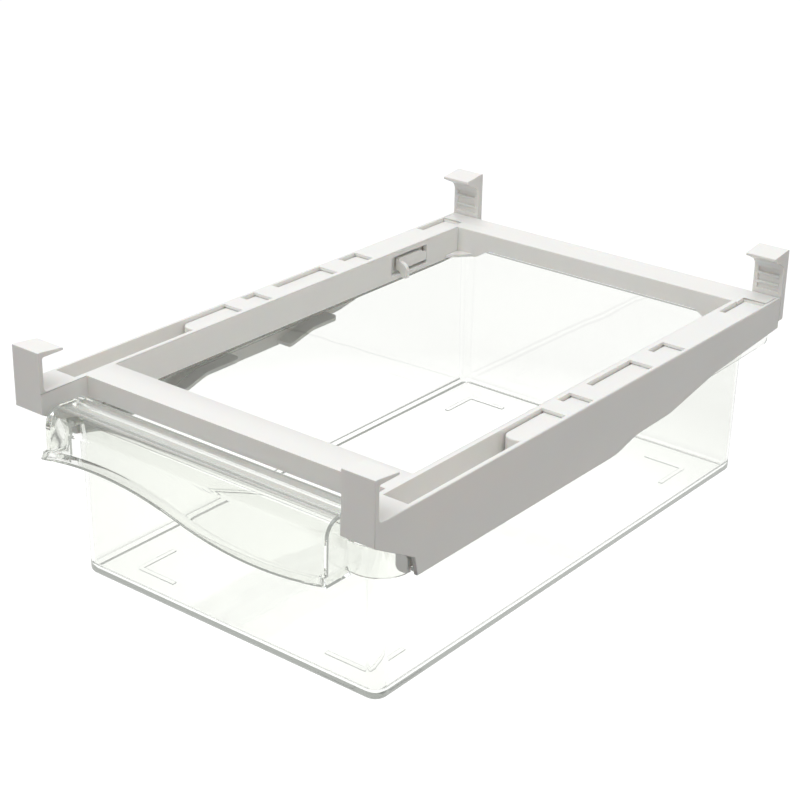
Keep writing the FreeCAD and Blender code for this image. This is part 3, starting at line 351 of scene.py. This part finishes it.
# ------------------------------------------------------------------ sizes and looks
class WhiteMouldings(bpy.types.PropertyGroup):
    colour: FloatVectorProperty(
        name="White", description="Warm white of the ABS", subtype="COLOR", size=4,
        default=linear("#F1F0ED"))
    flow_colour: FloatVectorProperty(
        name="Flow white", description="White where the melt ran slower", subtype="COLOR", size=4,
        default=linear("#EEEDE9"))
    edge_radius: FloatProperty(
        name="Edge radius", description="Rounding of the white mouldings' edges",
        default=0.3 * MM, unit="LENGTH")
    roughness: FloatProperty(
        name="Roughness", description="Roughness of the satin surface",
        default=0.38, subtype="FACTOR")


class RearHooks(bpy.types.PropertyGroup):
    rib_count: IntProperty(name="Ribs", description="Grip ribs on each rear hook", default=3, min=1)
    rib_pitch: FloatProperty(
        name="Rib pitch", description="Spacing of the grip ribs", default=4.8 * MM, unit="LENGTH")
    rib_radius: FloatProperty(
        name="Rib radius", description="Radius of a grip rib", default=0.75 * MM, unit="LENGTH")
    rib_length: FloatProperty(
        name="Rib length", description="Length of a grip rib", default=11.8 * MM, unit="LENGTH")


class ClearDrawer(bpy.types.PropertyGroup):
    colour: FloatVectorProperty(
        name="Clear", description="Tint of the clear walls", subtype="COLOR", size=4,
        default=linear("#F3F4F1"))
    # Painted shade: the dark tint mixed in where a wall is seen edge on and on the feet's sides
    painted_rim_shade_colour: FloatVectorProperty(
        name="Rims", description="Tint where a wall is seen edge on", subtype="COLOR", size=4,
        default=linear("#303230"))
    # Painted glow: colour of the emission painted where rays bounce long between the drawer's faces
    painted_glow_colour: FloatVectorProperty(
        name="Caught light", description="Light that leaves the edges of the walls",
        subtype="COLOR", size=4, default=linear("#666865"))
    edge_radius: FloatProperty(
        name="Edge radius", description="Rounding of the drawer's edges",
        default=0.3 * MM, unit="LENGTH")
    feet_height: FloatProperty(
        name="Feet", description="Height of the feet, whose edges stay crisp",
        default=0.6 * MM, unit="LENGTH")


class Stage(bpy.types.PropertyGroup):
    lamp_colour: FloatVectorProperty(
        name="Lamp", description="Colour of the lamp overhead", subtype="COLOR", size=4,
        default=linear("#F6F9FF"))
    sky_colour: FloatVectorProperty(
        name="Sky colour", description="Colour of the even light", subtype="COLOR", size=4,
        default=linear("#FFFDF9"))
    floor_grey: FloatProperty(
        name="Floor", description="How much light the floor gives back",
        default=0.25, subtype="FACTOR")
    floor_lift: FloatProperty(
        name="Lift", description="White added where the floor is looked at", default=0.84)
    pool_lift: FloatProperty(
        name="Pool", description="The same in the pool of light under the object", default=1.15)
    sky: FloatProperty(
        name="Sky", description="Strength of the even light from all round", default=0.57)
    dark_side: FloatProperty(
        name="Dark side", description="How light the room behind the camera mirrors",
        default=0.25, subtype="FACTOR")
    through_side: FloatProperty(
        name="Seen through", description="How light that room is through clear walls",
        default=0.5, subtype="FACTOR")
    top_watts: FloatProperty(
        name="Top lamp", description="Power of the lamp overhead", default=17.5, unit="POWER")


# ------------------------------------------------------------------------ pieces
def white(context):
    """The white mouldings' one material, made when it is first asked for."""
    return bpy.data.materials.get(ABS_WHITE) or moulded_abs(context.scene.organizer_white)


def white_moulding(context, node):
    """One of the white pieces, with rounded edges."""
    piece = softened_copy(node, context.scene.organizer_white.edge_radius)
    finish_piece(context, piece, node, white(context))


def grip_rib_tree():
    """Geometry nodes for a ladder of round ribs that run across, one above the other."""
    tree = bpy.data.node_groups.new("grip_ribs", "GeometryNodeTree")
    for name, kind in (("Count", "Int"), ("Pitch", "Float"), ("Radius", "Float"),
                       ("Length", "Float"), ("Lowest", "Vector"), ("Material", "Material")):
        tree.interface.new_socket(name, in_out="INPUT", socket_type=f"NodeSocket{kind}")
    tree.interface.new_socket("Geometry", in_out="OUTPUT", socket_type="NodeSocketGeometry")
    size = add(tree, "NodeGroupInput").outputs
    half = add(tree, "ShaderNodeMath", {0: size["Length"], 1: 0.5}, operation="MULTIPLY")
    other = add(tree, "ShaderNodeMath", {0: half.outputs[0], 1: -1.0}, operation="MULTIPLY")
    start = add(tree, "ShaderNodeCombineXYZ", {"X": other.outputs[0]})
    end = add(tree, "ShaderNodeCombineXYZ", {"X": half.outputs[0]})
    run = add(tree, "GeometryNodeCurvePrimitiveLine", {
        "Start": start.outputs[0], "End": end.outputs[0]})
    ring = add(tree, "GeometryNodeCurvePrimitiveCircle", {
        "Resolution": 20, "Radius": size["Radius"]})
    rib = add(tree, "GeometryNodeCurveToMesh", {
        "Curve": run.outputs[0], "Profile Curve": ring.outputs[0], "Fill Caps": True})
    step = add(tree, "ShaderNodeCombineXYZ", {"Z": size["Pitch"]})
    ladder = add(tree, "GeometryNodeMeshLine", {
        "Count": size["Count"], "Start Location": size["Lowest"], "Offset": step.outputs[0]})
    ribs = add(tree, "GeometryNodeInstanceOnPoints", {
        "Points": ladder.outputs[0], "Instance": rib.outputs[0]})
    real = add(tree, "GeometryNodeRealizeInstances", {0: ribs.outputs[0]})
    painted = add(tree, "GeometryNodeSetMaterial", {
        "Geometry": real.outputs[0], "Material": size["Material"]})
    add(tree, "NodeGroupOutput", {0: painted.outputs[0]})
    return tree


def grip_ribs(context, tree, side, sign):
    """The rounded ribs on one rear hook, standing a little proud of the strap's face."""
    look = context.scene.organizer_hooks
    sizes = {"Count": look.rib_count, "Pitch": look.rib_pitch, "Radius": look.rib_radius,
             "Length": look.rib_length, "Material": white(context),
             "Lowest": (sign * STRAP_MIDDLE, STRAP_FACE + RIB_INSET, LOWEST_RIB)}
    piece = bpy.data.objects.new(f"rear_hook_{side}_ribs", bpy.data.meshes.new("ribs"))
    context.scene.collection.objects.link(piece)
    nodes = piece.modifiers.new("ribs", "NODES")
    nodes.node_group = tree
    for socket in tree.interface.items_tree:
        if socket.in_out == "INPUT":
            nodes[socket.identifier] = sizes[socket.name]
    mesh = plain_mesh(context, piece)
    if not mesh.polygons:
        raise RuntimeError(f"the {side} rear hook has no grip ribs")
    work = bmesh.new()
    work.from_mesh(mesh)
    bmesh.ops.recalc_face_normals(work, faces=work.faces)
    work.to_mesh(mesh)
    work.free()
    mesh.shade_smooth()
    mesh.set_sharp_from_angle(angle=math.radians(40))
    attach(piece, f"rear_hook_{side}")


class ORGANIZER_OT_front_frame(bpy.types.Operator):
    """Makes the front frame: rails, crossbar and front hooks in one moulding"""
    bl_idname = "organizer.front_frame"
    bl_label = "Front frame"

    def execute(self, context):
        white_moulding(context, "front_frame")
        return {"FINISHED"}


class ORGANIZER_OT_rear_frame(bpy.types.Operator):
    """Makes the rear frame: a crossbar with two sliding arms"""
    bl_idname = "organizer.rear_frame"
    bl_label = "Rear frame"

    def execute(self, context):
        white_moulding(context, "rear_frame")
        return {"FINISHED"}


class ORGANIZER_OT_rear_hooks(bpy.types.Operator):
    """Makes the two height-adjustable rear hooks"""
    bl_idname = "organizer.rear_hooks"
    bl_label = "Rear hooks"

    def execute(self, context):
        tree = grip_rib_tree()
        for side, sign in (("left", -1), ("right", 1)):
            white_moulding(context, f"rear_hook_{side}")
            grip_ribs(context, tree, side, sign)
        return {"FINISHED"}


class ORGANIZER_OT_latches(bpy.types.Operator):
    """Makes the two spring latches"""
    bl_idname = "organizer.latches"
    bl_label = "Spring latches"

    def execute(self, context):
        for side in ("left", "right"):
            white_moulding(context, f"latch_{side}")
        return {"FINISHED"}


class ORGANIZER_OT_drawer(bpy.types.Operator):
    """Makes the clear drawer with its hooded handle"""
    bl_idname = "organizer.drawer"
    bl_label = "Drawer"

    def execute(self, context):
        look = context.scene.organizer_clear
        piece = softened_copy("drawer", look.edge_radius, look.feet_height)
        finish_piece(context, piece, "drawer", clear_styrene(look))
        return {"FINISHED"}


def lay_floor(scene, look):
    """The seamless paper under the object, square to the camera."""
    mesh = bpy.data.meshes.new("floor")
    signs = ((-1, -1), (1, -1), (1, 1), (-1, 1))
    corners = [(x * FLOOR_REACH, y * FLOOR_REACH, 0) for x, y in signs]
    mesh.from_pydata(corners, [], [(0, 1, 2, 3)])
    mesh.materials.append(studio_paper(look))
    floor = bpy.data.objects.new("floor", mesh)
    scene.collection.objects.link(floor)
    floor.location.z = -FLOOR_DROP
    floor.rotation_euler.z = CAMERA_AROUND


def light_room(scene, look):
    """Even light from all round, and a room that is white where it is looked at."""
    world = bpy.data.worlds.new("studio")
    world.use_nodes = True
    tree = world.node_tree
    tree.nodes.clear()
    place = add(tree, "ShaderNodeTexCoord")
    behind = add(tree, "ShaderNodeVectorMath", {
        0: place.outputs["Generated"], 1: TO_CAMERA}, operation="DOT_PRODUCT")
    walls = add(tree, "ShaderNodeMapRange", {
        "Value": behind.outputs["Value"], "From Min": WALL_FADE[0], "From Max": WALL_FADE[1]})
    amount = add(tree, "ShaderNodeMapRange", {
        "Value": seen_directly(tree), "To Min": look.sky,
        "To Max": room_light(tree, walls.outputs["Result"], look)})
    warmth = add(tree, "ShaderNodeMix", {
        0: seen_directly(tree), 6: look.sky_colour, 7: linear("#FFFFFF")}, data_type="RGBA")
    back = add(tree, "ShaderNodeBackground", {
        "Color": warmth.outputs[2], "Strength": amount.outputs["Result"]})
    add(tree, "ShaderNodeOutputWorld", {"Surface": back.outputs[0]})
    scene.world = world


def hang_lamp(scene, look):
    """One large soft lamp overhead."""
    data = bpy.data.lights.new("lamp_top", "AREA")
    data.shape = "SQUARE"
    data.size = LAMP_SIZE
    data.energy = look.top_watts
    data.color = look.lamp_colour[:3]
    lamp = bpy.data.objects.new("lamp_top", data)
    lamp.location = LAMP_PLACE
    down = Vector(LAMP_AIM) - Vector(LAMP_PLACE)
    lamp.rotation_euler = down.to_track_quat("-Z", "Y").to_euler()
    scene.collection.objects.link(lamp)


def place_camera(scene):
    """The camera, a little above the object and off its front right corner."""
    data = bpy.data.cameras.new("camera")
    data.lens = CAMERA_LENS
    data.sensor_width = 36.0
    camera = bpy.data.objects.new("camera", data)
    scene.collection.objects.link(camera)
    back = Vector((
        math.sin(CAMERA_AROUND) * math.cos(CAMERA_UP),
        -math.cos(CAMERA_AROUND) * math.cos(CAMERA_UP), math.sin(CAMERA_UP)))
    right = Vector((math.cos(CAMERA_AROUND), math.sin(CAMERA_AROUND), 0))
    turned = Matrix.Rotation(CAMERA_ROLL, 3, back)
    axes = Matrix((turned @ right, turned @ back.cross(right), back)).transposed()
    camera.matrix_world = Matrix.Translation(CAMERA_PLACE) @ axes.to_4x4()
    scene.camera = camera


class ORGANIZER_OT_stage(bpy.types.Operator):
    """Makes the floor, the light and the camera"""
    bl_idname = "organizer.stage"
    bl_label = "Stage"

    def execute(self, context):
        scene = context.scene
        look = scene.organizer_stage
        lay_floor(scene, look)
        light_room(scene, look)
        hang_lamp(scene, look)
        place_camera(scene)
        scene.view_settings.view_transform = "Standard"
        return {"FINISHED"}


class VIEW3D_PT_organizer(bpy.types.Panel):
    """Buttons for each piece and for the stage"""
    bl_label = "Drawer organizer"
    bl_space_type = "VIEW_3D"
    bl_region_type = "UI"
    bl_category = "Organizer"

    def draw(self, context):
        for group in (getattr(context.scene, name) for name in GROUPS):
            for name in group.__annotations__:
                self.layout.prop(group, name)
        for step in STEPS:
            self.layout.operator(step.bl_idname)


GROUPS = {"organizer_white": WhiteMouldings, "organizer_hooks": RearHooks,
          "organizer_clear": ClearDrawer, "organizer_stage": Stage}
STEPS = (ORGANIZER_OT_front_frame, ORGANIZER_OT_rear_frame, ORGANIZER_OT_rear_hooks,
         ORGANIZER_OT_latches, ORGANIZER_OT_drawer, ORGANIZER_OT_stage)


def register():
    for name, group in GROUPS.items():
        bpy.utils.register_class(group)
        setattr(bpy.types.Scene, name, PointerProperty(type=group))
    for cls in (*STEPS, VIEW3D_PT_organizer):
        bpy.utils.register_class(cls)


def unregister():
    for cls in (VIEW3D_PT_organizer, *reversed(STEPS)):
        bpy.utils.unregister_class(cls)
    for name, group in reversed(GROUPS.items()):
        delattr(bpy.types.Scene, name)
        bpy.utils.unregister_class(group)


def main():
    register()
    for step in STEPS:
        area, name = step.bl_idname.split(".")
        getattr(getattr(bpy.ops, area), name)()


if __name__ == "__main__":
    main()
